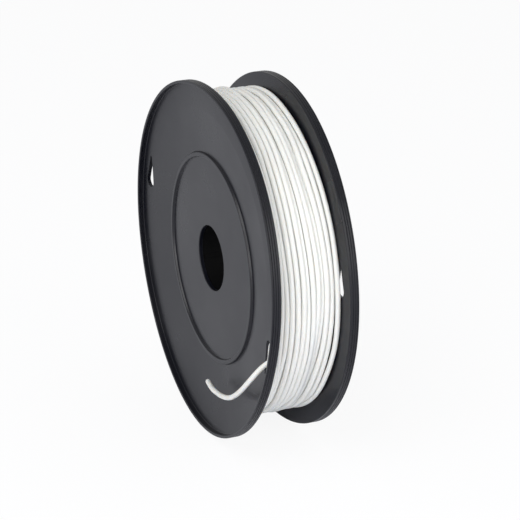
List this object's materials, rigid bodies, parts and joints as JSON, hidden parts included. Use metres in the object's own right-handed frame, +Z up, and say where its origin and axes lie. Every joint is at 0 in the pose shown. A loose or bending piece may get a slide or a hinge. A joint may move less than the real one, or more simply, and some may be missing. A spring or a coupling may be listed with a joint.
{
  "type": "filament spool",
  "caption": "Two-flange reel for 3D printer filament with dished flanges, rim lips, drop-shaped filament slots, a hub tube and drum, wound with white filament.",
  "frame": {"origin": "centre of the spool on the axle line, midway between the two rim lips", "axes": "+Y along the bore towards the rear flange, +Z up with the spool standing on its rims, +X to the right of the front flange's face"},
  "size_m": [0.2, 0.0545, 0.2],
  "materials": {
    "black_plastic": "satin moulded black plastic",
    "hub_plastic": "matte moulded black plastic",
    "filament": "satin natural white filament"
  },
  "bodies": {
    "root": {"front_flange": "black_plastic", "rear_flange": "black_plastic", "drum": "hub_plastic", "hub_tube": "hub_plastic", "filament_core": "filament", "filament_winding": "filament", "filament_tail": "filament"}
  },
  "joints": []
}
